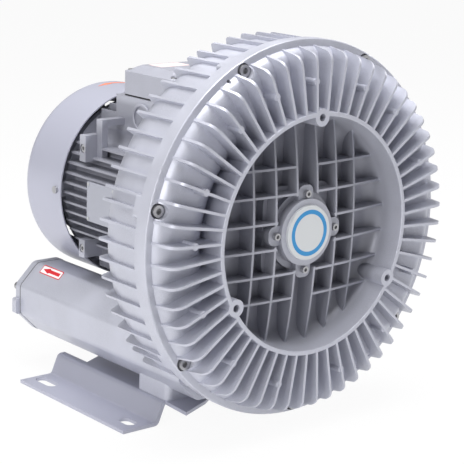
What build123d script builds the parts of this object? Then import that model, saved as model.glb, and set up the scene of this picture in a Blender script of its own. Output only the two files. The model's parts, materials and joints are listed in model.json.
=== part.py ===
from build123d import *
import os
from math import atan2, cos, degrees, pi, radians, sin, sqrt

# Side channel blower: a finned front cover and rear casing round a vaned impeller, a
# three-phase motor behind them, two silencer tubes below the motor and a bent foot.
#
# Millimetres. World frame: X to the right, +Y from the front cover to the motor, +Z up,
# origin on the floor at the middle of the overall box. Every piece is drawn in the shaft
# frame: x right, y up from the shaft axis, z towards the front, so that a depth behind the
# rim of the front cover is -z. to_world() places it.

# ---- driving dimensions: the whole machine -------------------------------------------
shaft_height = 232.0          # floor to shaft axis
flange_radius = 215.0         # bolted joint between front cover and rear casing
fin_count = 56
fin_thickness = 3.0
wall = 5.0                    # cast wall
run_gap = 1.5                 # impeller to casing
slip = 0.05                   # radial clearance of shafts, pins and screws in their holes
seal_gap = 0.4                # trim beside a moving or soft piece

# ---- front cover ---------------------------------------------------------------------
rim_radius = 138.0            # outside of the rim ring
rim_width = 5.0
fin_radius = 202.0            # outside of the cover fins at their front corner
fin_corner = 13.0
flange_front = 31.0           # depth of the flange face
parting = 45.0                # depth of the joint
dome_front = 20.0             # depth of the dome between the fins
dome_edge = 208.0             # outside of the dome
recess_floor = 44.0
recess_fillet = 20.0
rib_pitch = 30.0
rib_thickness = 2.6
rib_front_hub = 17.0          # depth of the rib edges beside the hub
rib_front_rim = 30.0          # and where they meet the recess wall
rim_boss_circle = 132.0
rim_boss_radius = 10.0
rim_boss_count = 3
rim_tap_radius = 4.25
post_circle = 172.0
post_radius = 4.0
post_fins = (3, 7, 10, 14, 17, 20, 24, 27, 31, 35, 39, 44, 48, 52)

# ---- side channel and impeller -------------------------------------------------------
channel_circle = 174.0        # middle of the side channel
channel_depth = 54.0
channel_radius = 27.0
dome_radius = 34.0            # outside of the cast wall over the channel
impeller_web = 6.0
vane_count = 48
vane_inner = 152.0
vane_outer = 196.0
vane_reach = 12.0             # each side of the middle
vane_thickness = 2.5
stripper_angle = 26.0
impeller_hub_radius = 30.0
impeller_hub_front = 46.0
impeller_hub_back = 78.0

# ---- flange joint --------------------------------------------------------------------
gasket_thickness = 0.5
rear_flange = 6.5
rear_flange_radius = 214.0
flange_screws_count = 7
flange_screw_circle = 205.5
flange_screw_radius = 4.0
flange_screw_length = 22.0
pocket_radius = 8.2
pocket_floor = 37.6
screw_boss = (12.5, 202.0, 60.0)           # half width, inside radius, back
screw_head_ratio = 1.65       # socket head radius to shank radius
first_flange_gap = 2          # gap between fins that holds the first flange screw
dowel_radius = 2.0
dowel_gaps = (19, 47)
dowel_reach = 10.0            # into each half

# ---- rear casing ---------------------------------------------------------------------
casing_radius = 209.0
casing_back = 145.0           # depth of its rear face
casing_rounding = 57.0
rear_fin_radius = 213.0
rear_fin_back = 120.0
rear_fins_per_screw = 9
rear_fin_start = 1.0          # degrees past the screw
rear_fin_step = 5.93
motor_spigot = 112.0          # radius of the face that carries the motor

# ---- silencer tubes ------------------------------------------------------------------
tube_offset = 93.0            # sideways from the shaft
tube_drop = 147.0             # below the shaft
tube_front = 68.0
tube_size = 88.0
tube_chamfer = 26.0
tube_back = 394.0
port_flange_thickness = 9.0
port_radius = 28.3            # G2 thread, drawn at its minor diameter
port_gasket = 1.0
foam_thickness = 8.0
duct_radius = 22.0

# ---- hub -----------------------------------------------------------------------------
outboard_bearing = (12.5, 31.0, 17.0)      # bore radius, outside radius, width
outboard_depth = 24.0                      # depth of its front face
carrier_radius = 38.0
carrier_front = 17.5
carrier_screw_circle = 43.6
carrier_lug_front = 21.7
carrier_lug_back = 28.0
carrier_lug_radius = 9.5
hub_cap_radius = 31.3
hub_cap_front = 13.3
hub_screw_radius = 2.5
pedestal_size = 104.0

# ---- motor ---------------------------------------------------------------------------
frame_radius = 96.0
frame_wall = 7.0
frame_fin_radius = 112.0
frame_fin_pitch = 12.0
frame_back = 338.0
upright_fin_radius = 116.0
upright_fin_back = 330.0
stator_length = 112.0
stator_front = 186.0
stator_bore = 55.0
air_gap = 0.6
drive_bearing = (15.0, 36.0, 19.0)
drive_bearing_depth = 150.0
rear_bearing = (12.5, 31.0, 17.0)
rear_bearing_depth = 342.0
rear_shield_thickness = 8.0
rear_shield_radius = 108.0
cowl_radius = 119.3
cowl_sheet = 1.5
cowl_front = 332.0
cowl_back = 418.0
cowl_rounding = 16.0
fan_radius = 96.0
fan_blades = 7
fan_front = 370.0
fan_back = 396.0
fan_seat_radius = 11.0

# ---- terminal box --------------------------------------------------------------------
box_width = 120.0
box_length = 98.0
box_front = 190.0
box_low = 124.0
box_high = 148.0
lid_high = 159.0
lid_slope = 15.0
lid_edge = 3.5                # upright edge below the slope
gland_radius = 6.5
gland_thread = 10.0

# ---- foot ----------------------------------------------------------------------------
foot_sheet = 4.0
foot_width = 354.0
foot_bend = 264.0             # between the bends at the floor
foot_top_width = 244.0
foot_top = 28.0               # top of the plate above the floor
foot_front = 116.0
foot_back = 331.0
slot_spacing_x = 310.0
slot_spacing_y = 168.0
slot_width = 15.0
front_slot = 25.0
rear_slot = 37.0
pad_front = 112.0
pad_back = 172.0

# ---- derived places ------------------------------------------------------------------
machine_back = cowl_back
rim_y = -machine_back / 2
fin_step = 360 / fin_count
foot_top_y = foot_top - shaft_height
floor_y = -shaft_height
casing_front = parting + gasket_thickness
casing_flange_back = casing_front + rear_flange


# ---- helpers -------------------------------------------------------------------------
def to_world(shape):
    """Moves a piece from the shaft frame to the world frame."""
    return Pos(0, rim_y, shaft_height) * Rot(90, 0, 0) * shape


def save(name, *solids):
    """Writes one node; its solids stay separate."""
    pieces = [s for solid in solids for s in solid.solids()]
    export_step(to_world(Compound(children=pieces)), "parts/" + name + ".step")


def outline(corners):
    """Closed half section; each corner is radius, depth and, if wanted, its rounding."""
    points = [(corner[0], -corner[1]) for corner in corners]
    rounding = [corner[2] if len(corner) > 2 else 0 for corner in corners]
    return make_face(FilletPolyline(*points, radius=rounding, close=True))


def band(inner, outer, front, back):
    """Rectangle of the half section between two radii and two depths."""
    return Pos((inner + outer) / 2, -(front + back) / 2) * Rectangle(outer - inner, back - front)


def disc(radius_at, depth, radius):
    """Round patch of the half section."""
    return Pos(radius_at, -depth) * Circle(radius)


def spin(section):
    """Turns a half section round the shaft."""
    return revolve(Plane.XZ * section, axis=Axis.Z)


def plate(section, thickness):
    """A half section as a flat rib in the plane through the shaft."""
    return extrude(Plane.XZ * section, amount=thickness / 2, both=True)


def block(left, right, low, high, front, back):
    """Box between sides, heights and depths."""
    size = (right - left, high - low, back - front)
    return Pos((left + right) / 2, (low + high) / 2, -(front + back) / 2) * Box(*size)


def bar(radius, front, back, x=0.0, y=0.0):
    """Round bar along the shaft direction."""
    return Pos(x, y, -(front + back) / 2) * Cylinder(radius, back - front)


def ring(inner, outer, front, back):
    """Plain ring round the shaft."""
    return spin(band(inner, outer, front, back))


def spot(radius, angle):
    """Point of a bolt circle."""
    return radius * cos(radians(angle)), radius * sin(radians(angle))


def around(shape, angles):
    """Copies of one shape at several angles round the shaft."""
    return [Rot(0, 0, angle) * shape for angle in angles]


def bars(radius, front, back, places):
    """Round bars along the shaft direction at a list of places."""
    return [bar(radius, front, back, x, y) for x, y in places]


def mirrored(shapes):
    """The shapes and their mirror images across the upright plane of the shaft."""
    return shapes + [mirror(shape, about=Plane.YZ) for shape in shapes]


def cap_screw(radius, seat, length, head=None):
    """Socket head screw along the shaft direction with its head towards the front."""
    head_radius = head or radius * screw_head_ratio
    height = radius * 2
    screw = bar(head_radius, seat - height, seat) + bar(radius, seat, seat + length)
    return screw - bar(radius * 0.85, seat - height, seat - height * 0.45)


fin_angles = [(k + 0.5) * fin_step for k in range(fin_count)]
flange_gap_step = fin_count / flange_screws_count
flange_angles = [(first_flange_gap + k * flange_gap_step) * fin_step
                 for k in range(flange_screws_count)]
flange_places = [spot(flange_screw_circle, angle) for angle in flange_angles]
dowel_places = [spot(flange_screw_circle + 1, gap * fin_step) for gap in dowel_gaps]
boss_angles = [90 + k * 360 / rim_boss_count for k in range(rim_boss_count)]
carrier_angles = [0, 90, 180, 270]
carrier_places = [spot(carrier_screw_circle, angle) for angle in carrier_angles]
impeller_front = channel_depth - impeller_web / 2
impeller_back = channel_depth + impeller_web / 2
rear_fin_angles = [angle + rear_fin_start + k * rear_fin_step
                   for angle in flange_angles for k in range(rear_fins_per_screw)]


# ---- front cover ---------------------------------------------------------------------
hub_bore = carrier_radius + slip
floor_back = impeller_front - run_gap


def channel(extra=0.0):
    """Half section of the side channel."""
    return disc(channel_circle, channel_depth, channel_radius + extra)


def cover_section():
    """Half section of the front cover without fins, ribs and hub."""
    rim = outline([
        (rim_radius - rim_width, 0, 1),
        (rim_radius, 0, 1),
        (channel_circle - dome_radius, floor_back),
        (hub_bore, floor_back),
        (hub_bore, recess_floor),
        (rim_radius - rim_width - 4, recess_floor, recess_fillet),
    ])
    dome = outline([
        (rim_radius - 2, floor_back),
        (rim_radius - 2, dome_front, 29),
        (dome_edge, dome_front, 18),
        (dome_edge, parting),
        (vane_inner, parting),
        (vane_inner, floor_back),
    ])
    flange = outline([
        (channel_circle + channel_radius, flange_front),
        (flange_radius, flange_front, 1.5),
        (flange_radius, parting),
        (channel_circle + channel_radius, parting),
    ])
    return rim + (dome + flange - channel())


def stripper(front, back):
    """Block that narrows the side channel to the impeller between the two ports."""
    fill = channel(1) & band(0, flange_radius, front, back)
    start = Rot(0, 0, 270 - stripper_angle / 2)
    return start * revolve(Plane.XZ * fill, axis=Axis.Z, revolution_arc=stripper_angle)


def cover_fin():
    """One upright fin from the rim ring over the dome to the flange."""
    face = outline([
        (rim_radius - 1, 0),
        (fin_radius, 0, fin_corner),
        (dome_edge, flange_front + 1),
        (channel_circle + channel_radius + 1, flange_front + 1),
        (channel_circle, dome_front + 4, 8),
        (channel_circle - dome_radius + 2, floor_back - 3),
        (rim_radius - 1, floor_back - 3),
    ])
    return plate(face - channel(3), fin_thickness)


def recess_ribs():
    """Crossing ribs on the floor of the recess, their front edges bowed backwards."""
    reach = rim_radius - rim_width - 1
    lines = [rib_pitch * (k + 0.5) for k in range(3)]
    half = rib_thickness / 2
    ribs = []
    for line in lines:
        length = sqrt(reach**2 - line**2)
        upright = block(line - half, line + half, -length, length, rib_front_hub, floor_back - 1)
        right = block(lines[0], length, line - half, line + half, rib_front_hub, floor_back - 1)
        ribs += mirrored([upright, right, mirror(right, about=Plane.XZ)])
    bowl = make_face([
        ThreePointArc((0, -rib_front_hub), (reach / 2, -rib_front_hub - 3.25),
                      (reach, -rib_front_rim)),
        Line((reach, -rib_front_rim), (reach, -floor_back)),
        Line((reach, -floor_back), (0, -floor_back)),
        Line((0, -floor_back), (0, -rib_front_hub)),
    ])
    room = spin(bowl)
    return [rib & room for rib in ribs]


def cover_hub():
    """Raised pedestal and bored hub that carry the outboard bearing."""
    square = fillet(Rectangle(pedestal_size, pedestal_size).vertices(), 20)
    pedestal = Pos(0, 0, -floor_back + 1) * extrude(square, floor_back - 1 - 34)
    hub = bar(carrier_radius + 7, carrier_lug_back, floor_back - 1)
    lugs = bars(carrier_lug_radius, carrier_lug_back, floor_back - 1, carrier_places)
    return pedestal + hub + lugs


def make_front_cover():
    """Cast front cover: flange, finned dome, rim ring, ribbed recess and hub."""
    body = spin(cover_section()) + around(cover_fin(), fin_angles)
    posts = [Rot(0, 0, fin_angles[k]) * bar(post_radius, 1, dome_front + 2, post_circle)
             for k in post_fins]
    bosses = bars(rim_boss_radius, 0, recess_floor, [spot(rim_boss_circle, a) for a in boss_angles])
    body = body + posts + bosses + recess_ribs() + cover_hub()
    body = body + stripper(0, channel_depth - vane_reach - run_gap)
    taps = bars(rim_tap_radius, 0, 30, [spot(rim_boss_circle, a) for a in boss_angles])
    pockets = bars(pocket_radius, 10, pocket_floor, flange_places)
    flange_holes = bars(flange_screw_radius + slip, 0, parting, flange_places)
    pin_holes = bars(dowel_radius + slip, 0, parting, dowel_places)
    lug_holes = bars(hub_screw_radius + slip, 0, recess_floor, carrier_places)
    bore = bar(hub_bore, 0, floor_back)
    ear_room = block(carrier_radius - 4, 54, -12, 12, 0, carrier_lug_back)
    bore = [bore, bar(carrier_radius + 7, 0, carrier_lug_back)] + around(ear_room, carrier_angles)
    return body - taps - pockets - flange_holes - pin_holes - lug_holes - bore


# ---- rear casing and silencer tubes --------------------------------------------------
web_front = impeller_back + run_gap
seal = (20.1, 32.0, 8.0)      # inside radius, outside radius, width
seal_depth = 82.0
sleeve_radius = 20.0
silencer_front = 96.0


def tube_section(size, corner, rounding):
    """Cross section of a silencer tube, a square with bevelled and rounded corners."""
    square = chamfer(Rectangle(size, size).vertices(), corner)
    return Pos(-tube_offset, -tube_drop) * fillet(square.vertices(), rounding)


def along(section, front, back):
    """A cross section of the shaft frame drawn out between two depths."""
    return Pos(0, 0, -back) * extrude(section, back - front)


def tube_outside(front, back):
    """Outside of the left silencer tube."""
    return along(tube_section(tube_size, tube_chamfer, 10), front, back)


def tube_inside(front, back, lining=0.0):
    """Inside of the left silencer tube, or of the foam in it."""
    size = tube_size - 2 * wall - 2 * lining
    return along(tube_section(size, tube_chamfer - 3 - lining / 3, 7), front, back)


def casing_section():
    """Half section of the rear casing without fins and tubes."""
    flange = outline([
        (channel_circle + channel_radius, casing_front),
        (rear_flange_radius, casing_front, 0.5),
        (rear_flange_radius, casing_flange_back, 1),
        (channel_circle + channel_radius, casing_flange_back),
    ])
    shell = outline([
        (casing_radius, casing_front + 1),
        (casing_radius, casing_back, casing_rounding),
        (seal[1] - 6, casing_back),
        (seal[1] - 6, casing_back - 6),
        (casing_radius - wall, casing_back - 6, casing_rounding - wall),
        (casing_radius - wall, casing_front + 1),
    ])
    web = band(seal[1] + slip, channel_circle - dome_radius + 4, web_front, web_front + wall)
    seal_hub = band(seal[1] + slip, seal[1] + 9, web_front, seal_depth + seal[2] + 3)
    seal_lip = band(seal[1] - 7, seal[1] + 1, seal_depth + seal[2], seal_depth + seal[2] + 3)
    drum = band(motor_spigot - 6, motor_spigot, web_front + 1, casing_back - 1)
    lip = band(drive_bearing[1] - 8, drive_bearing[1] + 8, casing_back - 1, drive_bearing_depth)
    hub = band(drive_bearing[1] + slip, drive_bearing[1] + 8, casing_back,
               drive_bearing_depth + drive_bearing[2] + 2)
    room = band(0, vane_inner, parting, web_front)
    ahead = band(0, flange_radius, dome_front, casing_front)
    trough = disc(channel_circle, channel_depth, dome_radius) - room - ahead
    return flange + shell + trough + web + seal_hub + seal_lip + drum + lip + hub - channel()


def casing_fin():
    """One short fin on the outside of the rear casing."""
    face = outline([
        (casing_radius - 3, casing_flange_back - 1),
        (rear_fin_radius, casing_flange_back - 1),
        (rear_fin_radius, rear_fin_back, 4),
        (casing_radius - 13, rear_fin_back),
        (casing_radius - 3, rear_fin_back - 26),
    ])
    return plate(face, fin_thickness)


def screw_bosses():
    """Thick places of the rear casing that take the flange screws."""
    half, inside, back = screw_boss
    boss = block(inside, rear_flange_radius - 0.3, -half, half, casing_front + 1, back)
    boss = fillet(boss.edges().filter_by(Axis.Z).group_by(Axis.X)[-1], 3)
    return around(boss, flange_angles)


def make_rear_casing():
    """Cast rear casing with both silencer tubes and the pads that stand on the foot."""
    lowest = block(-flange_radius, flange_radius, floor_y, foot_top_y, tube_front, machine_back)
    fins = [fin - lowest for fin in around(casing_fin(), rear_fin_angles)]
    motor_bosses = bars(10, casing_back - 18, casing_back - 1, motor_places)
    pad = block(-118, -70, foot_top_y, -tube_drop, pad_front, pad_back)
    pad = fillet(pad.edges().filter_by(Axis.Y), 8)
    tubes = mirrored([tube_outside(tube_front, tube_back), pad])
    body = spin(casing_section()) + fins + screw_bosses() + motor_bosses + tubes
    body = body + stripper(channel_depth + vane_reach + run_gap, channel_depth + dome_radius)
    inside = mirrored([
        tube_inside(silencer_front, tube_back),
        bar(duct_radius, casing_front, silencer_front, -tube_offset, -tube_drop),
    ])
    taps = bars(flange_screw_radius + slip, casing_front, screw_boss[2], flange_places)
    pin_holes = bars(dowel_radius + slip, casing_front, casing_front + dowel_reach, dowel_places)
    motor_taps = bars(motor_screw_radius + slip, casing_back - 18, casing_back, motor_places)
    core_holes = bars(12, casing_back - 6, casing_back, [spot(138, a) for a in (30, 90, 150)])
    foot_taps = foot_bolt_shanks(slip, -tube_drop - tube_size / 2 + wall / 2)
    port_taps = mirrored(bars(port_screw_radius + slip, tube_back - 14, tube_back, port_places))
    return (body - inside - taps - pin_holes - motor_taps - core_holes - foot_taps - port_taps)


# ---- flange joint --------------------------------------------------------------------
washer_thickness = 1.6
flange_screw_seat = pocket_floor - washer_thickness


def make_flange_gasket():
    """Paper gasket between the two halves."""
    sheet = ring(channel_circle + channel_radius + 0.5, rear_flange_radius - 0.5, parting, casing_front)
    holes = bars(flange_screw_radius + slip, parting, casing_front, flange_places)
    return sheet - holes - bars(dowel_radius + slip, parting, casing_front, dowel_places)


def make_flange_screws():
    """Socket head screws of the flange joint."""
    screw = cap_screw(flange_screw_radius, flange_screw_seat, flange_screw_length)
    return [Pos(x, y, 0) * screw for x, y in flange_places]


def make_flange_washers():
    """Washers below the flange screws."""
    washer = ring(flange_screw_radius + slip, pocket_radius - seal_gap, flange_screw_seat, pocket_floor)
    return [Pos(x, y, 0) * washer for x, y in flange_places]


def make_dowel_pins():
    """Two pins that line the halves up."""
    return bars(dowel_radius, parting - dowel_reach, casing_front + dowel_reach, dowel_places)


# ---- impeller and shaft --------------------------------------------------------------
shaft_seat = 15.0             # impeller, sleeve and drive bearing
shaft_body = 20.0             # below the rotor
shaft_collar = 24.0
shaft_front = 20.0            # depth of the front end
fan_seat_front = fan_front
key_width = 8.0
key_low = 11.0
key_high = 18.2


def make_impeller():
    """Disc with straight vanes round its edge on both sides."""
    hub = ring(shaft_seat + slip, impeller_hub_radius, impeller_hub_front, impeller_hub_back)
    web = ring(impeller_hub_radius - 1, vane_outer - 14, impeller_front, impeller_back)
    edge = ring(vane_inner - 3, vane_inner, impeller_front - 3, impeller_back + 3)
    face = band(vane_inner - 1, vane_outer, channel_depth - vane_reach, channel_depth + vane_reach)
    vane = plate(face, vane_thickness)
    angles = [k * 360 / vane_count for k in range(vane_count)]
    keyway = block(-key_width / 2 - slip, key_width / 2 + slip, 0, key_high + slip,
                   impeller_hub_front, impeller_hub_back)
    return hub + web + edge + around(vane, angles) - keyway


def make_impeller_key():
    """Flat key between shaft and impeller."""
    return block(-key_width / 2, key_width / 2, key_low, key_high, impeller_hub_front + 4,
                 impeller_hub_back - 4)


def make_impeller_nut():
    """Slotted round nut that holds the impeller on its seat."""
    front = outboard_depth + outboard_bearing[2]
    nut = ring(outboard_bearing[0] + slip, shaft_body, front, impeller_hub_front)
    slots = [block(shaft_body - 3, shaft_body + 1, -2.5, 2.5, front, impeller_hub_front)]
    return nut - around(slots[0], [0, 90, 180, 270])


def make_shaft_sleeve():
    """Distance sleeve between impeller and drive bearing, running in the shaft seal."""
    return ring(shaft_seat + slip, sleeve_radius, impeller_hub_back, drive_bearing_depth)


def make_shaft():
    """Stepped shaft through impeller, rotor and cooling fan."""
    steps = (
        (outboard_bearing[0], shaft_front, impeller_hub_front),
        (shaft_seat, impeller_hub_front, drive_bearing_depth + drive_bearing[2]),
        (shaft_body, drive_bearing_depth + drive_bearing[2], rear_bearing_depth),
        (shaft_collar, stator_front + stator_length, stator_front + stator_length + 4),
        (rear_bearing[0], rear_bearing_depth, fan_seat_front),
        (fan_seat_radius, fan_seat_front, fan_back + 4),
    )
    solid = bar(*steps[0])
    for step in steps[1:]:
        solid = solid + bar(*step)
    keyway = block(-key_width / 2 - slip, key_width / 2 + slip, key_low, shaft_seat + 1,
                   impeller_hub_front + 4 - slip, impeller_hub_back - 4 + slip)
    return solid - keyway


def bearing_rings(size, depth):
    """Outer and inner ring of a sealed bearing, met at its middle radius."""
    bore, outside, width = size
    middle = (bore + outside) / 2
    outer = ring(middle + slip, outside, depth, depth + width)
    inner = ring(bore + slip, middle, depth, depth + width)
    return outer, inner


def make_shaft_seal():
    """Seal ring on the distance sleeve."""
    return ring(seal[0], seal[1], seal_depth, seal_depth + seal[2])


# ---- hub -----------------------------------------------------------------------------
def make_bearing_carrier():
    """Bearing housing pushed into the cover from the front, with four ears."""
    sleeve = ring(outboard_bearing[1] + slip, carrier_radius, carrier_front, 41)
    lip = ring(outboard_bearing[1] - 6, carrier_radius - 1, carrier_front, outboard_depth)
    ear = block(carrier_radius - 4, 53, -11, 11, carrier_lug_front, carrier_lug_back)
    ear = fillet(ear.edges().filter_by(Axis.Z).group_by(Axis.X)[-1], 8)
    holes = bars(hub_screw_radius + slip, 0, carrier_lug_back, carrier_places)
    inner = bar(outboard_bearing[1] - 6, 0, floor_back)
    return sleeve + lip + around(ear, carrier_angles) - holes - inner


def make_hub_cap():
    """Flat round cap over the bearing."""
    cap = bar(hub_cap_radius, hub_cap_front, carrier_front)
    return chamfer(cap.edges().group_by(Axis.Z)[-1], 1)


def make_hub_screws():
    """Screws through the ears of the bearing carrier."""
    screw = cap_screw(hub_screw_radius, carrier_lug_front, 20)
    return [Pos(x, y, 0) * screw for x, y in carrier_places]


# ---- motor ---------------------------------------------------------------------------
motor_screw_radius = 4.0
motor_places = [spot(104, 45 + 90 * k) for k in range(4)]
motor_flange = 12.0
shield_screw_places = [spot(frame_radius - frame_wall / 2, 45 + 90 * k) for k in range(4)]
nameplate_x = 112.0
box_pad_high = box_low - 2
frame_front = casing_back


def fin_rows(first, last):
    """Fin positions across the frame."""
    count = round((last - first) / frame_fin_pitch) + 1
    return [first + k * frame_fin_pitch for k in range(count)]


def frame_fins():
    """Parallel cooling fins of the motor frame, level at the sides, upright elsewhere."""
    half = 1.3
    front = frame_front + motor_flange + 2
    side = []
    for y in fin_rows(-72, 72):
        outside = sqrt(frame_fin_radius**2 - y**2)
        inside = sqrt(frame_radius**2 - y**2) - 3
        side.append(block(-outside, -inside, y - half, y + half, front, frame_back))
    upright = []
    for x in fin_rows(-60, 60):
        outside = sqrt(upright_fin_radius**2 - x**2)
        inside = sqrt(frame_radius**2 - x**2) - 3
        upright.append(block(x - half, x + half, inside, outside, front, upright_fin_back))
        upright.append(block(x - half, x + half, -outside, -inside, front, upright_fin_back))
    return mirrored(side) + upright


def make_motor_frame():
    """Finned motor frame with the pads for terminal box, nameplate and tie screws."""
    inside = frame_radius - frame_wall
    shell = ring(inside, frame_radius, frame_front, frame_back)
    shoulder = ring(inside - 4, inside + 1, stator_front - 4, stator_front)
    collar = ring(inside, motor_spigot - 2, frame_front, frame_front + motor_flange)
    ears = bars(11, frame_front, frame_front + motor_flange, motor_places)
    box_pad = block(-62, 62, 60, box_pad_high, box_front, box_front + 108)
    plate_pad = block(-nameplate_x, -80, -26, 22, 228, 285)
    upper_pad = block(-112, -80, 44, 76, 290, 302)
    lower_pad = block(-112, -80, -74, -52, 290, 302)
    arm = block(-95, -87, 45, 95, 280, 292) + block(-95, -60, 87, 95, 280, 292)
    body = shell + shoulder + collar + frame_fins() + ears
    body = body + [box_pad, plate_pad, upper_pad, lower_pad, arm]
    driver_room = bars(13, frame_front + motor_flange, frame_back, motor_places)
    rotor_room = bar(inside, stator_front, frame_back)
    front_room = bar(inside - 4, frame_front, stator_front)
    screw_holes = bars(motor_screw_radius + slip, frame_front, frame_front + motor_flange,
                       motor_places)
    shield_taps = bars(2.5 + slip, frame_back - 14, frame_back, shield_screw_places)
    box_taps = [tap for tap in box_screws(slip, box_pad_high - 12, box_low)]
    wire_room = block(-20, 20, 60, box_pad_high, 225, 255)
    return (body - driver_room - rotor_room - front_room - screw_holes - shield_taps
            - box_taps - wire_room - frame_screw_rooms() - nameplate_pins(slip))


def make_motor_screws():
    """Screws that hold the motor on the rear casing, heads to the rear."""
    seat = frame_front + motor_flange
    shank = bar(motor_screw_radius, seat - 26, seat)
    head = bar(motor_screw_radius * screw_head_ratio, seat, seat + 8) - bar(3.4, seat + 4.4, seat + 8)
    return [Pos(x, y, 0) * (shank + head) for x, y in motor_places]


def make_stator_core():
    """Laminated stator core."""
    return ring(stator_bore, frame_radius - frame_wall - slip, stator_front,
                stator_front + stator_length)


def make_stator_winding():
    """Winding heads at both ends of the core."""
    front = ring(58, 82, stator_front - 24, stator_front)
    end = stator_front + stator_length
    return [front, ring(58, 82, end, end + 22)]


def make_rotor_core():
    """Rotor core on the shaft."""
    return ring(shaft_body + slip, stator_bore - air_gap, stator_front,
                stator_front + stator_length)


def make_rear_end_shield():
    """Rear end shield with the rear bearing seat and the arms that carry the cowl."""
    back = rear_bearing_depth + rear_bearing[2]
    disc_wall = ring(rear_bearing[1] - 2, rear_shield_radius, frame_back,
                     frame_back + rear_shield_thickness)
    hub = ring(rear_bearing[1] - 2, rear_bearing[1] + 8, frame_back, back + 3)
    inner = cowl_radius - cowl_sheet
    arm = block(frame_radius - 16, inner - 6, -9, 9, frame_back, 352) + block(
        inner - 12, inner + 2, -9, 9, frame_back, 352)
    arms = [piece & bar(inner, frame_back, 352) for piece in around(arm, cowl_screw_angles)]
    seat = bar(rear_bearing[1] + slip, frame_back, back)
    middle = bar(rear_bearing[1] - 12, frame_back, back + 3)
    holes = bars(2.5 + slip, frame_back, frame_back + rear_shield_thickness, shield_screw_places)
    lip = ring(rear_bearing[1] - 12, rear_bearing[1] + 1, back, back + 3)
    return disc_wall + hub + lip + arms - seat - middle - holes - cowl_screw_shanks(slip)


def make_end_shield_screws():
    """Screws of the rear end shield, heads to the rear."""
    seat = frame_back + rear_shield_thickness
    screw = bar(2.5, seat - 20, seat) + bar(4.25, seat, seat + 5) - bar(2.1, seat + 2.5, seat + 5)
    return [Pos(x, y, 0) * screw for x, y in shield_screw_places]


def make_cooling_fan():
    """Radial cooling fan on the rear shaft end."""
    hub = ring(fan_seat_radius + slip, 20, fan_front, fan_back)
    back_plate = ring(19, fan_radius, fan_front, fan_front + 3)
    blade = plate(band(18, fan_radius - 2, fan_front + 1, fan_back - 2), 3)
    return hub + back_plate + around(blade, [k * 360 / fan_blades for k in range(fan_blades)])


def make_fan_clip():
    """Clip ring behind the fan hub."""
    return ring(fan_seat_radius, fan_seat_radius + 4, fan_back, fan_back + 1.5)


cowl_screw_angles = [179, 89, -1, -91]
cowl_screw_depth = 342.0


def radial_bar(radius, inside, outside, angle, depth):
    """Round bar pointing away from the shaft."""
    middle = Pos((inside + outside) / 2, 0, -depth) * Rot(0, 90, 0)
    return Rot(0, 0, angle) * middle * Cylinder(radius, outside - inside)


def cowl_screw_shanks(extra=0.0):
    """Shanks of the cowl screws, or the holes they sit in."""
    return [radial_bar(2.5 + extra, cowl_radius - 10 - extra, cowl_radius, a, cowl_screw_depth)
            for a in cowl_screw_angles]


def make_cowl_screws():
    """Screws round the front edge of the fan cowl."""
    heads = [radial_bar(4.6, cowl_radius, cowl_radius + 2.8, a, cowl_screw_depth)
             for a in cowl_screw_angles]
    return [shank + head for shank, head in zip(cowl_screw_shanks(), heads)]


def make_fan_cowl():
    """Sheet cowl over the fan with ring slots in its end."""
    outer = outline([(0, cowl_front), (cowl_radius, cowl_front),
                     (cowl_radius, cowl_back, cowl_rounding), (0, cowl_back)])
    inner = outline([(0, cowl_front), (cowl_radius - cowl_sheet, cowl_front),
                     (cowl_radius - cowl_sheet, cowl_back - cowl_sheet, cowl_rounding - cowl_sheet),
                     (0, cowl_back - cowl_sheet)])
    shell = spin(outer - inner)
    slots = [ring(r, r + 8, cowl_back - cowl_sheet - 1, cowl_back) for r in (28, 42, 56, 70, 84)]
    spokes = block(-5, 5, -100, 100, cowl_back - 3, cowl_back)
    spokes = [Rot(0, 0, a) * spokes for a in (0, 45, 90, 135)]
    cut = [slot - spokes for slot in slots]
    return shell - cut - cowl_screw_shanks(slip)


frame_screw_places = ((60, 296), (-63, 296))   # height, depth


def frame_screw_bars(radius, left, right):
    """Level round bars at the small screws on the left of the frame."""
    return [Pos((left + right) / 2, y, -d) * Rot(0, 90, 0) * Cylinder(radius, right - left)
            for y, d in frame_screw_places]


def frame_screw_rooms():
    """Counterbored holes of the small screws."""
    holes = frame_screw_bars(3 + slip, -frame_fin_radius, 14 - frame_fin_radius)
    return holes + frame_screw_bars(5.2, -frame_fin_radius - 1, 5 - frame_fin_radius)


def make_frame_screws():
    """Socket head screws sunk in the two pads on the left of the frame."""
    seat = 5 - frame_fin_radius
    shanks = frame_screw_bars(3, seat, seat + 8)
    heads = frame_screw_bars(4.7, seat - 4, seat)
    sockets = frame_screw_bars(2.3, seat - 4, seat - 1.5)
    return [shank + head - socket for shank, head, socket in zip(shanks, heads, sockets)]


nameplate_points = [(y, d) for y in (-23, 19) for d in (231, 282)]


def nameplate_pins(extra=0.0, length=6.0):
    """Rivet shanks of the nameplate, or their holes."""
    x = -nameplate_x + length / 2
    return [Pos(x, y, -d) * Rot(0, 90, 0) * Cylinder(1 + extra, length + 2 * extra)
            for y, d in nameplate_points]


def make_nameplate():
    """Bare data plate."""
    sheet = block(-nameplate_x - 0.8, -nameplate_x, -26, 22, 228, 285)
    sheet = fillet(sheet.edges().filter_by(Axis.X), 2)
    holes = [Pos(-nameplate_x, y, -d) * Rot(0, 90, 0) * Cylinder(1 + slip, 4)
             for y, d in nameplate_points]
    return sheet - holes


def make_nameplate_rivets():
    """Rivets of the data plate."""
    x = -nameplate_x - 0.8
    heads = [Pos(x - 0.4, y, -d) * Rot(0, 90, 0) * Cylinder(2, 0.8) for y, d in nameplate_points]
    shanks = [Pos(x + 3, y, -d) * Rot(0, 90, 0) * Cylinder(1, 6) for y, d in nameplate_points]
    return [head + shank for head, shank in zip(heads, shanks)]


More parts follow.
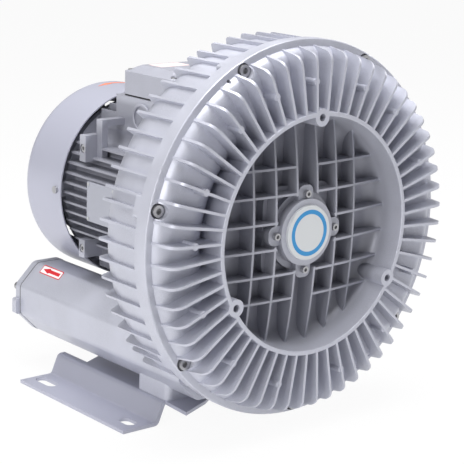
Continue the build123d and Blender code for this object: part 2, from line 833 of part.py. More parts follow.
# ---- terminal box --------------------------------------------------------------------
box_back = box_front + box_length
box_wall = 4.0
box_screw_places = [(x, d) for x in (-44, 44) for d in (box_front + 14, box_back - 14)]
lid_screw_places = [(x, d) for x in (-53, 53) for d in (box_front + 7, box_back - 7)]
gland_place = (136.0, 214.0)  # height, depth


def box_screws(extra, low, high):
    """Upright shanks of the screws in the floor of the terminal box, or their holes."""
    return [Pos(x, (low + high) / 2, -d) * Rot(90, 0, 0) * Cylinder(2.5 + extra, high - low)
            for x, d in box_screw_places]


def lid_bars(radius, low, high):
    """Upright round bars at the lid screws."""
    return [Pos(x, (low + high) / 2, -d) * Rot(90, 0, 0) * Cylinder(radius, high - low)
            for x, d in lid_screw_places]


def make_terminal_box():
    """Open cast box on the pad of the frame, with a cable entry on its right."""
    body = block(-box_width / 2, box_width / 2, box_low, box_high, box_front, box_back)
    body = fillet(body.edges().filter_by(Axis.Y), 6)
    room = block(-box_width / 2 + box_wall, box_width / 2 - box_wall, box_low + box_wall, box_high,
                 box_front + box_wall, box_back - box_wall)
    room = fillet(room.edges().filter_by(Axis.Y), 3)
    corners = lid_bars(5.5, box_low + 1, box_high)
    inside = block(-box_width / 2 + 1, box_width / 2 - 1, box_low, box_high, box_front + 1, box_back - 1)
    corners = [corner & inside for corner in corners]
    y, d = gland_place
    entry = Pos(box_width / 2, y, -d) * Rot(0, 90, 0) * Cylinder(gland_thread + slip, 4 * box_wall)
    window = block(-20, 20, box_low, box_low + box_wall, 225, 255)
    return (body - room + corners - entry - window - box_screws(slip, box_low, box_low + box_wall)
            - lid_bars(2 + slip, box_high - 14, box_high))


def make_terminal_box_gasket():
    """Gasket between frame pad and terminal box."""
    sheet = block(-58, 58, box_pad_high, box_low, box_front + 2, box_back - 2)
    window = block(-20, 20, box_pad_high, box_low, 225, 255)
    return sheet - window - box_screws(slip, box_pad_high, box_low)


def make_terminal_box_screws():
    """Screws in the floor of the terminal box."""
    shanks = box_screws(0.0, box_pad_high - 12, box_low + box_wall)
    heads = [Pos(x, box_low + box_wall + 1.5, -d) * Rot(90, 0, 0) * Cylinder(4.5, 3)
             for x, d in box_screw_places]
    return [shank + head for shank, head in zip(shanks, heads)]


def make_terminal_box_lid():
    """Lid with sloping sides."""
    low = Plane.XZ.offset(-box_high - lid_edge)
    high = Plane.XZ.offset(-lid_high)
    middle = (0, -(box_front + box_back) / 2)
    base = Pos(*middle) * RectangleRounded(box_width, box_length, 6)
    top = Pos(*middle) * RectangleRounded(box_width - 2 * lid_slope, box_length - 2 * lid_slope, 4)
    lid = plan(base, box_high, box_high + lid_edge) + loft([low * base, high * top])
    room = block(-box_width / 2 + 16, box_width / 2 - 16, box_high, lid_high - 4, box_front + 16,
                 box_back - 16)
    seats = lid_bars(4.2, box_high + lid_edge, lid_high)
    return lid - room - seats - lid_bars(2 + slip, box_high, box_high + lid_edge)


def make_lid_screws():
    """Screws of the lid."""
    seat = box_high + lid_edge
    shanks = lid_bars(2, box_high - 12, seat)
    heads = lid_bars(3.6, seat, seat + 2.5)
    return [shank + head for shank, head in zip(shanks, heads)]


def make_terminal_block():
    """Moulded block with six studs."""
    base = block(-30, 30, box_low + box_wall, box_low + box_wall + 9, 232 + 26, 232 + 48)
    studs = [Pos(x, box_low + box_wall + 12, -d) * Rot(90, 0, 0) * Cylinder(2, 8)
             for x in (-20, 0, 20) for d in (264, 274)]
    return base + studs


def make_cable_gland():
    """Cable gland screwed into the right side of the terminal box."""
    y, d = gland_place
    face = box_width / 2
    thread = Pos(face - 1, y, -d) * Rot(0, 90, 0) * Cylinder(gland_thread, 10)
    nut = Pos(face, y, -d) * Rot(0, 90, 0) * extrude(RegularPolygon(11.8, 6), 7)
    cap = Pos(face + 14, y, -d) * Rot(0, 90, 0) * Cylinder(10, 14)
    hole = Pos(face + 8, y, -d) * Rot(0, 90, 0) * Cylinder(gland_radius, 32)
    return thread + nut + cap - hole


# ---- port flanges --------------------------------------------------------------------
port_screw_radius = 3.0
port_places = [(-tube_offset + sx * 39, -tube_drop + sy * 14) for sx in (-1, 1) for sy in (-1, 1)]
port_front = tube_back + port_gasket
port_back = port_front + port_flange_thickness


def port_plate():
    """Outline of the port flange with its side lug."""
    lug = Pos(-137, -156) * Rectangle(12, 20)
    return tube_section(tube_size + 1, tube_chamfer, 12) + fillet(lug.vertices(), 3)


def make_port_flange():
    """Left port flange with its tapped opening."""
    body = along(port_plate(), port_front, port_back)
    neck = bar(port_radius + 7, port_back - 1, port_back + 8, -tube_offset, -tube_drop)
    opening = bar(port_radius, port_front, port_back + 8, -tube_offset, -tube_drop)
    return body + neck - opening - bars(port_screw_radius + slip, port_front, port_back, port_places)


def make_port_gasket():
    """Left port gasket."""
    sheet = along(tube_section(tube_size, tube_chamfer, 10), tube_back, port_front)
    opening = bar(port_radius + 6, tube_back, port_front, -tube_offset, -tube_drop)
    return sheet - opening - bars(port_screw_radius + slip, tube_back, port_front, port_places)


def make_port_screws():
    """Screws of the left port flange, heads to the rear."""
    shanks = bars(port_screw_radius, tube_back - 12, port_back, port_places)
    heads = bars(5, port_back, port_back + 5, port_places)
    return [shank + head for shank, head in zip(shanks, heads)]


def make_silencer_foam():
    """Foam lining of the left silencer tube."""
    outer = tube_inside(silencer_front, tube_back - 20)
    return outer - tube_inside(silencer_front, tube_back - 20, foam_thickness)


# ---- foot ----------------------------------------------------------------------------
foot_bolt_radius = 5.0
foot_bolt_places = [(-94, d) for d in (pad_front + 15, pad_back - 15)]


def foot_bolt_shanks(extra=0.0, high=None):
    """Upright shanks of the foot bolts, or the holes in the pads."""
    top = high or foot_top_y + 12
    low = foot_top_y - foot_sheet
    return mirrored([Pos(x, (low + top) / 2, -d) * Rot(90, 0, 0)
                     * Cylinder(foot_bolt_radius + extra, top - low)
                     for x, d in foot_bolt_places])


def plan(sketch, low, high):
    """A sketch of side and depth drawn upwards between two heights."""
    return Pos(0, low, 0) * extrude(Plane.XZ * sketch, amount=low - high)


def make_foot_bolts():
    """Hexagon bolts from below through the foot into the pads."""
    low = foot_top_y - foot_sheet
    heads = [Pos(x, low, -d) * Rot(90, 0, 0) * extrude(RegularPolygon(9.2, 6), 6.4)
             for x, d in foot_bolt_places]
    return [shank + head for shank, head in zip(foot_bolt_shanks(), mirrored(heads))]


def make_foot_bracket():
    """Bent sheet foot: two slotted floor flanges, leaning webs and a top plate."""
    outside = foot_width / 2
    bend = foot_bend / 2
    top = foot_top_width / 2
    half = FilletPolyline(
        (0, foot_top), (top, foot_top), (bend, foot_sheet), (outside, foot_sheet), (outside, 0),
        (bend - foot_sheet, 0), (top - foot_sheet, foot_top - foot_sheet),
        (0, foot_top - foot_sheet),
        radius=[0, 7, 4, 0, 0, 7, 3, 0], close=True)
    side = Pos(0, floor_y) * make_face(half)
    channel = along(side, foot_front, foot_back)
    body = channel + mirror(channel, about=Plane.YZ)
    cut = Polyline((-112, -282), (-81, -297), (-40, -310), (40, -310), (81, -297), (112, -282),
                   (112, -340), (-112, -340), close=True)
    tongue = Polyline((-122, -72), (-80, -90), (-40, -foot_front), (40, -foot_front), (80, -90),
                      (122, -72), (top - 4, -foot_front - 6), (4 - top, -foot_front - 6), close=True)
    low = foot_top_y - foot_sheet
    body = body - plan(make_face(cut), low - 1, foot_top_y + 1)
    body = body + plan(make_face(tongue), low, foot_top_y)
    slots = [Pos(x, -d) * SlotOverall(length, slot_width, rotation=90)
             for x in (-slot_spacing_x / 2, slot_spacing_x / 2)
             for d, length in ((306 - slot_spacing_y, front_slot), (306, rear_slot))]
    for slot in slots:
        body = body - plan(slot, floor_y, floor_y + foot_sheet)
    return body - foot_bolt_shanks(slip)


# ---- write the nodes -----------------------------------------------------------------
def main():
    os.makedirs("parts", exist_ok=True)
    outboard = bearing_rings(outboard_bearing, outboard_depth)
    drive = bearing_rings(drive_bearing, drive_bearing_depth)
    rear = bearing_rings(rear_bearing, rear_bearing_depth)
    save("front_cover", make_front_cover())
    save("rear_casing", make_rear_casing())
    save("flange_gasket", make_flange_gasket())
    save("flange_screws", *make_flange_screws())
    save("flange_washers", *make_flange_washers())
    save("dowel_pins", *make_dowel_pins())
    save("impeller", make_impeller())
    save("impeller_key", make_impeller_key())
    save("impeller_nut", make_impeller_nut())
    save("shaft_sleeve", make_shaft_sleeve())
    save("shaft", make_shaft())
    save("shaft_seal", make_shaft_seal())
    save("outboard_bearing_outer", outboard[0])
    save("outboard_bearing_inner", outboard[1])
    save("drive_bearing_outer", drive[0])
    save("drive_bearing_inner", drive[1])
    save("rear_bearing_outer", rear[0])
    save("rear_bearing_inner", rear[1])
    save("bearing_carrier", make_bearing_carrier())
    save("hub_cap", make_hub_cap())
    save("hub_screws", *make_hub_screws())
    save("motor_frame", make_motor_frame())
    save("motor_screws", *make_motor_screws())
    save("stator_core", make_stator_core())
    save("stator_winding", *make_stator_winding())
    save("rotor_core", make_rotor_core())
    save("rear_end_shield", make_rear_end_shield())
    save("end_shield_screws", *make_end_shield_screws())
    save("cooling_fan", make_cooling_fan())
    save("fan_clip", make_fan_clip())
    save("fan_cowl", make_fan_cowl())
    save("cowl_screws", *make_cowl_screws())
    save("frame_screws", *make_frame_screws())
    save("nameplate", make_nameplate())
    save("nameplate_rivets", *make_nameplate_rivets())
    save("terminal_box", make_terminal_box())
    save("terminal_box_gasket", make_terminal_box_gasket())
    save("terminal_box_screws", *make_terminal_box_screws())
    save("terminal_box_lid", make_terminal_box_lid())
    save("lid_screws", *make_lid_screws())
    save("terminal_block", make_terminal_block())
    save("cable_gland", make_cable_gland())
    save("port_flanges", *mirrored([make_port_flange()]))
    save("port_gaskets", *mirrored([make_port_gasket()]))
    save("port_flange_screws", *mirrored(make_port_screws()))
    save("silencer_foam", *mirrored([make_silencer_foam()]))
    save("foot_bracket", make_foot_bracket())
    save("foot_bolts", *make_foot_bolts())


main()
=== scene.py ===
"""Side channel blower: finishes, stickers, floor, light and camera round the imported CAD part."""

import json

import bpy
import numpy as np
from mathutils import Matrix, Vector


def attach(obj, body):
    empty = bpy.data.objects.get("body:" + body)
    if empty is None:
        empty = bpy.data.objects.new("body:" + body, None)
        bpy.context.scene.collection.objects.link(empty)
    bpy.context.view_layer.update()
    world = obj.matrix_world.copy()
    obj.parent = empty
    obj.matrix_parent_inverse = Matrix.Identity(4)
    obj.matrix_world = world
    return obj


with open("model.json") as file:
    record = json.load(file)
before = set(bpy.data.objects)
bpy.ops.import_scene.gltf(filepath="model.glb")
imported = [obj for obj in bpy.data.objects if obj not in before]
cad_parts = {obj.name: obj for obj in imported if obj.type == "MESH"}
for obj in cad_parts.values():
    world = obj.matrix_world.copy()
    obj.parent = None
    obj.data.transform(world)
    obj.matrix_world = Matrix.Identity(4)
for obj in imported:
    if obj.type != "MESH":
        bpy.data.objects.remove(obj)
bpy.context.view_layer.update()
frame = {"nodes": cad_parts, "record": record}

# ---- sizes read from the frame, in metres ---------------------------------------------
MOUNTS = {mount["name"]: mount for mount in frame["record"]["mounts"]}
SHAFT = Vector(MOUNTS["front_bosses"]["pos_m"])      # middle of the rim plane on the shaft axis
MM = 0.001


def shaft_point(x, depth, up):
    """Point given in millimetres right of, behind and above the middle of the rim plane."""
    return SHAFT + Vector((x, depth, up)) * MM


def to_frame(points):
    """Rows of x, depth and height about the rim plane, in millimetres, as frame metres."""
    return np.asarray(SHAFT) + points * MM


# ---- shader helpers ---------------------------------------------------------------------
COAT_ROUGHNESS = 0.25


def material(name, colour, metallic, roughness, coat=0.0):
    """New node material with its plain values on the shader's own sockets."""
    made = bpy.data.materials.new(name)
    made.use_nodes = True
    shader = made.node_tree.nodes["Principled BSDF"]
    shader.inputs["Base Color"].default_value = (*colour, 1)
    shader.inputs["Metallic"].default_value = metallic
    shader.inputs["Roughness"].default_value = roughness
    shader.inputs["Coat Weight"].default_value = coat
    shader.inputs["Coat Roughness"].default_value = COAT_ROUGHNESS
    return made, made.node_tree, shader


def link(tree, source, target):
    """Joins an output socket to an input socket."""
    tree.links.new(source, target)


def object_place(tree):
    """Object coordinates, which are metres in the frame."""
    return tree.nodes.new("ShaderNodeTexCoord").outputs["Object"]


def noise(tree, place, size, detail=2.0):
    """Noise whose lumps are about size metres across."""
    node = tree.nodes.new("ShaderNodeTexNoise")
    node.inputs["Scale"].default_value = 1 / size
    node.inputs["Detail"].default_value = detail
    link(tree, place, node.inputs["Vector"])
    return node.outputs["Fac"]


def math(tree, operation, first, second=0.0, third=0.0):
    """One Math node; each operand is a socket or a number."""
    node = tree.nodes.new("ShaderNodeMath")
    node.operation = operation
    for slot, value in enumerate((first, second, third)):
        if isinstance(value, bpy.types.NodeSocket):
            link(tree, value, node.inputs[slot])
        else:
            node.inputs[slot].default_value = value
    return node.outputs[0]


def ramp(tree, value, low, high):
    """Runs smoothly from 0 at low to 1 at high."""
    node = tree.nodes.new("ShaderNodeMapRange")
    node.interpolation_type = "SMOOTHSTEP"
    node.inputs["From Min"].default_value = low
    node.inputs["From Max"].default_value = high
    link(tree, value, node.inputs["Value"])
    return node.outputs["Result"]


def blend_colour(tree, share, first, second):
    """Mixes two colours, given as triples or sockets, by a share."""
    node = tree.nodes.new("ShaderNodeMix")
    node.data_type = "RGBA"
    link(tree, share, node.inputs["Factor"])
    for slot, value in (("A", first), ("B", second)):
        socket = next(s for s in node.inputs if s.name == slot and s.type == "RGBA")
        if isinstance(value, bpy.types.NodeSocket):
            link(tree, value, socket)
        else:
            socket.default_value = (*value, 1)
    return next(s for s in node.outputs if s.type == "RGBA")


def bump(tree, shader, height, distance):
    """Bump of a given height in metres."""
    node = tree.nodes.new("ShaderNodeBump")
    node.inputs["Distance"].default_value = distance
    link(tree, height, node.inputs["Height"])
    link(tree, node.outputs["Normal"], shader.inputs["Normal"])


def axes(tree):
    """Socket set X, Y and Z of the object coordinates."""
    split = tree.nodes.new("ShaderNodeSeparateXYZ")
    link(tree, object_place(tree), split.inputs[0])
    return split.outputs


def shaft_reach(tree, place):
    """Distance from the shaft axis: sqrt(x^2 + (z - z0)^2)."""
    side = math(tree, "MULTIPLY", place["X"], place["X"])
    rise = math(tree, "SUBTRACT", place["Z"], SHAFT.z)
    return math(tree, "SQRT", math(tree, "MULTIPLY_ADD", rise, rise, side))


# ---- finishes ---------------------------------------------------------------------------
RECESS_SHADE_COLOUR = (0.31, 0.315, 0.365)                     # painted shade deep in the recess, where little light falls
RECESS_RADII = (0.126, 0.134)                        # the painted shade ends between them
RECESS_DEPTHS = (0.012, 0.026)                       # and starts between them
CELLS_PER_METRE = 900
CORE_SHEET = 0.001
HUB_WHITE = (0.64, 0.66, 0.68)
HUB_BLUE = (0.02, 0.26, 0.58)
HUB_RING = (0.0212, 0.0262)                          # inside and outside radius
HUB_RING_SOFT = 0.0004
CAST_GRAIN = {"cloud": 0.06, "fleck": 0.0012, "peel": 0.0035, "sand": 0.0009}


def recess_shade_share(tree):
    """Share of painted shade: 1 deep inside the rim ring of the front cover, where little light
    falls, 0 outside it and at its edge.

    The share is deep * (1 - beyond), where deep rises with the depth y - y0 and beyond with
    the distance from the shaft axis.
    """
    place = axes(tree)
    beyond = ramp(tree, shaft_reach(tree, place), *RECESS_RADII)
    deep = ramp(tree, math(tree, "SUBTRACT", place["Y"], SHAFT.y), *RECESS_DEPTHS)
    return math(tree, "MULTIPLY_ADD", beyond, math(tree, "MULTIPLY", deep, -1.0), deep)


def silver_casting(name, colour, grain, metallic=0.35, roughness=0.42):
    """Sprayed silver paint over cast metal: cloudy tone, fine orange peel, a sand grain and painted
    shade deep in the front recess.
    """
    made, tree, shader = material(name, colour, metallic, roughness, 0.12)
    place = object_place(tree)
    cloud = ramp(tree, noise(tree, place, CAST_GRAIN["cloud"], 3), 0.35, 0.7)
    fleck = ramp(tree, noise(tree, place, CAST_GRAIN["fleck"]), 0.3, 0.75)
    dull = tuple(c * 0.9 for c in colour)
    bright = tuple(min(1, c * 1.05) for c in colour)
    toned = blend_colour(tree, cloud, dull, bright)
    toned = blend_colour(tree, fleck, toned, colour)
    # painted shade: a darker colour deep in the front recess, where little light falls
    toned = blend_colour(tree, recess_shade_share(tree), toned, RECESS_SHADE_COLOUR)
    link(tree, toned, shader.inputs["Base Color"])
    link(tree, math(tree, "MULTIPLY_ADD", cloud, 0.1, roughness - 0.05), shader.inputs["Roughness"])
    peel = noise(tree, place, CAST_GRAIN["peel"])
    sand = noise(tree, place, CAST_GRAIN["sand"], 1)
    bump(tree, shader, math(tree, "MULTIPLY_ADD", sand, 0.35, peel), grain)
    return made


def rolled_sheet(name, colour):
    """Painted sheet: smooth, with long faint waves and a light orange peel."""
    made, tree, shader = material(name, colour, 0.3, 0.38, 0.15)
    place = object_place(tree)
    wave = noise(tree, place, 0.09, 1)
    peel = noise(tree, place, 0.002, 1)
    dull = tuple(c * 0.93 for c in colour)
    link(tree, blend_colour(tree, wave, dull, colour), shader.inputs["Base Color"])
    bump(tree, shader, peel, 0.00004)
    return made


def plated_steel(name, colour, roughness=0.32):
    """Zinc plate: metal with faint blotches."""
    made, tree, shader = material(name, colour, 0.9, roughness)
    place = object_place(tree)
    blotch = noise(tree, place, 0.004, 3)
    warm = (colour[0] * 0.85, colour[1] * 0.85, colour[2] * 0.84)
    link(tree, blend_colour(tree, blotch, warm, colour), shader.inputs["Base Color"])
    link(tree, math(tree, "MULTIPLY_ADD", blotch, 0.2, roughness - 0.1), shader.inputs["Roughness"])
    bump(tree, shader, noise(tree, place, 0.0006, 1), 0.00002)
    return made


def moulded(name, colour, roughness=0.55, grain=0.00004):
    """Plastic, rubber or paper: flat colour with a fine grain."""
    made, tree, shader = material(name, colour, 0.0, roughness)
    place = object_place(tree)
    mottle = noise(tree, place, 0.01, 3)
    pale = tuple(min(1, c * 1.15 + 0.004) for c in colour)
    link(tree, blend_colour(tree, mottle, colour, pale), shader.inputs["Base Color"])
    bump(tree, shader, noise(tree, place, 0.0008, 2), grain)
    return made


def open_foam(name, colour):
    """Acoustic foam: round cells."""
    made, tree, shader = material(name, colour, 0.0, 0.95)
    cells = tree.nodes.new("ShaderNodeTexVoronoi")
    cells.inputs["Scale"].default_value = CELLS_PER_METRE
    link(tree, object_place(tree), cells.inputs["Vector"])
    bump(tree, shader, cells.outputs["Distance"], 0.0006)
    return made


def laminated(name, colour):
    """Stacked sheets along the shaft: height sin(2 pi y / pitch)."""
    made, tree, shader = material(name, colour, 0.6, 0.45)
    turns = math(tree, "MULTIPLY", axes(tree)["Y"], 2 * np.pi / CORE_SHEET)
    bump(tree, shader, math(tree, "SINE", turns), 0.00008)
    return made


def hub_disc_finish(name):
    """Pale disc with a plain blue ring, by the distance from the shaft axis."""
    made, tree, shader = material(name, HUB_WHITE, 0.2, 0.35, 0.3)
    reach = shaft_reach(tree, axes(tree))
    outer = ramp(tree, reach, HUB_RING[1], HUB_RING[1] + HUB_RING_SOFT)
    inner = ramp(tree, reach, HUB_RING[0], HUB_RING[0] + HUB_RING_SOFT)
    ring = math(tree, "SUBTRACT", inner, outer)
    link(tree, blend_colour(tree, ring, HUB_WHITE, HUB_BLUE), shader.inputs["Base Color"])
    bump(tree, shader, noise(tree, object_place(tree), 0.002, 1), 0.00002)
    return made


FINISHES = {
    "cast_aluminium": silver_casting("cast_silver", (0.53, 0.54, 0.615), 0.00012),
    "motor_paint": silver_casting("motor_silver", (0.46, 0.468, 0.535), 0.00010),
    "sheet_paint": rolled_sheet("sheet_silver", (0.48, 0.488, 0.58)),
    "zinc_steel": plated_steel("zinc_plate", (0.50, 0.50, 0.52)),
    "bright_steel": plated_steel("ground_steel", (0.66, 0.66, 0.66), 0.25),
    "bare_aluminium": silver_casting("bare_casting", (0.62, 0.62, 0.62), 0.00008, 0.8, 0.4),
    "lamination": laminated("core_sheets", (0.20, 0.20, 0.21)),
    "winding": moulded("winding_varnish", (0.38, 0.14, 0.05), 0.35, 0.0001),
    "gasket_paper": moulded("gasket_paper", (0.10, 0.10, 0.095), 0.8),
    "seal_rubber": moulded("black_rubber", (0.018, 0.018, 0.018), 0.6),
    "fan_plastic": moulded("black_plastic", (0.025, 0.025, 0.028), 0.5),
    "foam": open_foam("foam", (0.05, 0.05, 0.05)),
    "plate_metal": plated_steel("plate_metal", (0.62, 0.63, 0.64), 0.4),
    "block_plastic": moulded("block_plastic", (0.03, 0.03, 0.035), 0.45),
}


def dress(node, finish):
    """Gives a CAD node one finish."""
    slots = frame["nodes"][node].data.materials
    slots.clear()
    slots.append(finish)


for subpart in frame["record"]["subparts"]:
    dress(subpart["node"], FINISHES[subpart["material_slot"]])
dress("hub_cap", hub_disc_finish("hub_disc"))
dress("nameplate", rolled_sheet("blank_plate", (0.40, 0.41, 0.47)))


# ---- surfaces, in millimetres --------------------------------------------------------------
LID_TOP = 159.0
COWL_RADIUS = 119.3
BEVEL_MIDDLE = np.array([-124.0, 0.0, -116.0])       # of the left tube's upper left bevel
PAD_SIDE = -62.0
FILM = 0.15                                          # thickness of one sticker layer
CLEAR = 0.02                                         # between a piece and what it lies on
RING_SHARES = np.array([1.0, 0.75, 0.5, 0.25])
RING_STEPS = 72
RING_EDGE = 0.8
ARROW_HEAD = 0.35                                    # share of an arrow's length


def piece(name, points, faces, finish, body="machine"):
    """Puts arrays of points and faces into a mesh that rides on a body."""
    mesh = bpy.data.meshes.new(name)
    mesh.from_pydata(points.tolist(), [], faces)
    mesh.materials.append(finish)
    made = bpy.data.objects.new(name, mesh)
    bpy.context.scene.collection.objects.link(made)
    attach(made, body)
    return made


def sheet(name, rim, surface, thickness, finish):
    """Thin closed sheet whose two faces follow a surface.

    rim holds the corners of the outline, counted against the clock, in millimetres of the
    surface's own u and v. surface(u, v, h) gives a point h above it. The rim is drawn in to
    its middle m in rings, m + share * (rim - m), so that the faces bend with the surface.
    """
    rim = close_points(rim)
    middle = rim.mean(axis=0)
    rings = (middle + RING_SHARES[:, None, None] * (rim - middle)).reshape(-1, 2)
    flat = np.vstack([rings, middle])
    count, rows = len(rim), len(RING_SHARES)
    points = np.vstack([surface(flat[:, 0], flat[:, 1], lift) for lift in (CLEAR, thickness)])
    ahead = (np.arange(count) + 1) % count
    here = np.arange(count)
    base = rows * count + 1
    faces = []
    for row in range(rows - 1):
        quad = np.stack([here, ahead, ahead + count, here + count], axis=1) + row * count
        faces += [quad + base, quad[:, ::-1]]
    faces = np.vstack(faces).tolist()
    last = (rows - 1) * count
    fan = np.stack([here + last, ahead + last, np.full(count, rows * count)], axis=1)
    faces += (fan + base).tolist() + fan[:, ::-1].tolist()
    faces += np.stack([here, ahead, ahead + base, here + base], axis=1).tolist()
    return piece(name, to_frame(points), faces, finish)


def close_points(rim, step=2.0):
    """The closed outline with its corners kept and points every step millimetres between them.

    Point = a + (b - a) * t for t from 0 up to 1 along each side.
    """
    sides = []
    for a, b in zip(rim, np.roll(rim, -1, axis=0)):
        parts = max(1, int(np.ceil(np.hypot(*(b - a)) / step)))
        share = np.arange(parts)[:, None] / parts
        sides.append(a + (b - a) * share)
    return np.vstack(sides)


def rounded_rim(width, height, radius, steps=5):
    """Corners of a rounded rectangle about the origin.

    Each corner is a quarter circle: centre + radius * (cos t, sin t).
    """
    turn = np.linspace(0, np.pi / 2, steps)
    rim = []
    for quarter, (sx, sy) in enumerate(((1, 1), (-1, 1), (-1, -1), (1, -1))):
        centre = np.array([sx * (width / 2 - radius), sy * (height / 2 - radius)])
        angle = turn + quarter * np.pi / 2
        rim.append(centre + radius * np.stack([np.cos(angle), np.sin(angle)], axis=1))
    return np.vstack(rim)


def arrow_rim(length, width, shaft_share):
    """Corners of a plain arrow that points to +u, symmetrical about v = 0."""
    tip, tail, neck = length / 2, -length / 2, length / 2 - ARROW_HEAD * length
    half, thin = width / 2, width / 2 * shaft_share
    return np.array([(tip, 0), (neck, half), (neck, thin), (tail, thin), (tail, -thin),
                     (neck, -thin), (neck, -half)])


def raised_ring(name, x, depth, height, radii, rise, finish):
    """Low round ring standing on an upright face that looks to the left.

    The section (r, h) turns about the ring's own axis: depth + r cos t, height + r sin t.
    """
    inner, outer = radii
    section = np.array([(outer, CLEAR), (outer, rise - RING_EDGE), (outer - RING_EDGE, rise),
                        (inner + RING_EDGE, rise), (inner, rise - RING_EDGE), (inner, CLEAR)])
    reach, lift = section.T
    corners = len(section)
    turn = np.linspace(0, 2 * np.pi, RING_STEPS, endpoint=False)
    points = np.stack([np.broadcast_to(x - lift, (RING_STEPS, corners)),
                       depth + np.outer(np.cos(turn), reach),
                       height + np.outer(np.sin(turn), reach)], axis=2).reshape(-1, 3)
    row, column = np.divmod(np.arange(RING_STEPS * corners), corners)
    here, after = row * corners, (row + 1) % RING_STEPS * corners
    beside = (column + 1) % corners
    faces = np.stack([here + column, here + beside, after + beside, after + column], axis=1)
    return piece(name, to_frame(points), faces.tolist(), finish)


def bevel_surface(depth, across):
    """Upper left bevel of the left silencer tube; u runs to the rear, v down the slope."""
    rearward = np.array([0, 1, 0])
    slope, out = np.array([1, 0, 1]) / np.sqrt(2), np.array([-1, 0, 1]) / np.sqrt(2)

    def place(u, v, h):
        return (BEVEL_MIDDLE + (depth + u)[:, None] * rearward
                + (across - v)[:, None] * slope + h * out)
    return place


def lid_surface(x, depth):
    """Top of the terminal box lid; u runs to the right, v to the rear."""
    def place(u, v, h):
        return np.stack([x + u, depth + v, np.full(len(u), LID_TOP + h)], axis=1)
    return place


def cowl_surface(angle, depth):
    """Round side of the fan cowl; u runs round it to the left, v to the front.

    The point is (R cos t, depth - v, R sin t) with t = angle + u / R.
    """
    def place(u, v, h):
        turn = np.radians(angle) + u / COWL_RADIUS
        reach = COWL_RADIUS + h
        return np.stack([reach * np.cos(turn), depth - v, reach * np.sin(turn)], axis=1)
    return place


white_film = moulded("white_film", (0.80, 0.80, 0.80), 0.35, 0.00001)
pink_film = moulded("pink_film", (0.80, 0.62, 0.60), 0.4, 0.00001)
red_ink = moulded("red_ink", (0.62, 0.02, 0.03), 0.35, 0.00001)
orange_ink = moulded("orange_ink", (0.80, 0.22, 0.12), 0.4, 0.00001)
tube_place = bevel_surface(357, 13)
sheet("tube_label", rounded_rim(44, 12.5, 2), tube_place, FILM, red_ink)
sheet("tube_label_field", rounded_rim(41.5, 10, 1.2), tube_place, 2 * FILM, white_film)
sheet("tube_label_arrow", arrow_rim(36, 7.5, 0.6), tube_place, 3 * FILM, red_ink)
sheet("lid_label", rounded_rim(44, 26, 2), lid_surface(-14, 257), FILM, pink_film)
raised_ring("pad_ring", PAD_SIDE, 246, 100, (13.5, 17.5), 2.5, FINISHES["motor_paint"])
sheet("cowl_arrow", arrow_rim(44, 9, 0.45), cowl_surface(92, 388), 2 * FILM, orange_ink)


# ---- floor, world and light ----------------------------------------------------------------
FLOOR_GLOW = 0.94                                    # share of plain white in the seen floor
FLOOR_HALF = 6.0
FLOOR_DROP = 0.0002
SKY = 0.25                                           # strength of the light that falls in
LAMPS = (
    ("top_box", (-0.1, -0.1, 2.2), (0, 0, 0.2), 1.8, 68),
    ("left_box", (-2.4, -0.7, 0.9), (0, 0, 0.2), 1.4, 30),
    ("right_box", (2.2, -0.5, 1.4), (0, 0, 0.25), 1.0, 14),
)


def white_to_camera(tree, surface, share):
    """Mixes a share of plain white into a surface where the camera or a reflection sees it."""
    path = tree.nodes.new("ShaderNodeLightPath")
    glow = tree.nodes.new("ShaderNodeEmission")
    glow.inputs["Strength"].default_value = 1.0
    mix = tree.nodes.new("ShaderNodeMixShader")
    seen = math(tree, "MAXIMUM", path.outputs["Is Camera Ray"], path.outputs["Is Glossy Ray"])
    link(tree, math(tree, "MULTIPLY", seen, share), mix.inputs[0])
    link(tree, surface, mix.inputs[1])
    link(tree, glow.outputs[0], mix.inputs[2])
    return mix.outputs[0]


def make_floor():
    """Wide pale floor just below the foot."""
    spread = np.array([-FLOOR_HALF, FLOOR_HALF])
    x, y = np.meshgrid(spread, spread)
    points = np.stack([x.ravel(), y.ravel(), np.full(x.size, -FLOOR_DROP)], axis=1)
    mesh = bpy.data.meshes.new("floor")
    mesh.from_pydata(points.tolist(), [], [(0, 1, 3, 2)])
    floor = bpy.data.objects.new("floor", mesh)
    bpy.context.scene.collection.objects.link(floor)
    made, tree, shader = material("floor_white", (0.92, 0.92, 0.92), 0.0, 0.7)
    seen = white_to_camera(tree, shader.outputs[0], FLOOR_GLOW)
    link(tree, seen, tree.nodes["Material Output"].inputs["Surface"])
    mesh.materials.append(made)


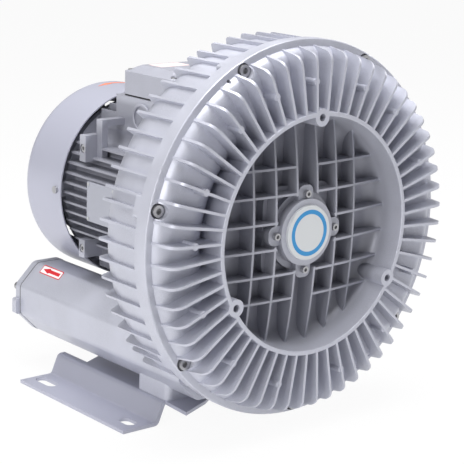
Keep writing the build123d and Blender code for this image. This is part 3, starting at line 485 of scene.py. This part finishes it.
def make_world():
    """White surroundings that light the object weakly."""
    world = bpy.data.worlds.new("surroundings")
    world.use_nodes = True
    tree = world.node_tree
    sky = tree.nodes["Background"]
    sky.inputs["Color"].default_value = (1, 1, 1, 1)
    sky.inputs["Strength"].default_value = SKY
    bright = tree.nodes.new("ShaderNodeBackground")
    bright.inputs["Strength"].default_value = 1.0
    mix = tree.nodes.new("ShaderNodeMixShader")
    path = tree.nodes.new("ShaderNodeLightPath")
    seen = math(tree, "MAXIMUM", path.outputs["Is Camera Ray"], path.outputs["Is Transmission Ray"])
    link(tree, seen, mix.inputs[0])
    link(tree, sky.outputs[0], mix.inputs[1])
    link(tree, bright.outputs[0], mix.inputs[2])
    link(tree, mix.outputs[0], tree.nodes["World Output"].inputs["Surface"])
    bpy.context.scene.world = world


def add_lamp(name, place, target, size, power):
    """Square soft box that faces a target."""
    lamp = bpy.data.lights.new(name, "AREA")
    lamp.size = size
    lamp.energy = power
    made = bpy.data.objects.new(name, lamp)
    made.location = place
    made.rotation_euler = (Vector(place) - Vector(target)).to_track_quat("Z", "Y").to_euler()
    bpy.context.scene.collection.objects.link(made)


# ---- camera ---------------------------------------------------------------------------------
CAMERA_TURN = np.radians(-40.11)
CAMERA_RISE = np.radians(13.59)
CAMERA_ROLL = np.radians(1.86)
CAMERA_PLACE = (-1173.5, -1245.8, 413.7)             # millimetres from the middle of the rim plane
CAMERA_LENS = 123.06
SENSOR_WIDTH = 36


def make_camera():
    """Main camera, rolled a little about its own axis."""
    back = Vector((np.sin(CAMERA_TURN) * np.cos(CAMERA_RISE),
                   -np.cos(CAMERA_TURN) * np.cos(CAMERA_RISE), np.sin(CAMERA_RISE)))
    level = Vector((np.cos(CAMERA_TURN), np.sin(CAMERA_TURN), 0))
    upward = back.cross(level)
    right = level * np.cos(CAMERA_ROLL) + upward * np.sin(CAMERA_ROLL)
    upward = upward * np.cos(CAMERA_ROLL) - level * np.sin(CAMERA_ROLL)
    camera = bpy.data.cameras.new("camera")
    camera.lens = CAMERA_LENS
    camera.sensor_width = SENSOR_WIDTH
    made = bpy.data.objects.new("camera", camera)
    turn = Matrix((right, upward, back)).transposed().to_4x4()
    made.matrix_world = Matrix.Translation(shaft_point(*CAMERA_PLACE)) @ turn
    bpy.context.scene.collection.objects.link(made)
    bpy.context.scene.camera = made


make_floor()
make_world()
for lamp_values in LAMPS:
    add_lamp(*lamp_values)
make_camera()
bpy.context.scene.view_settings.view_transform = "Standard"
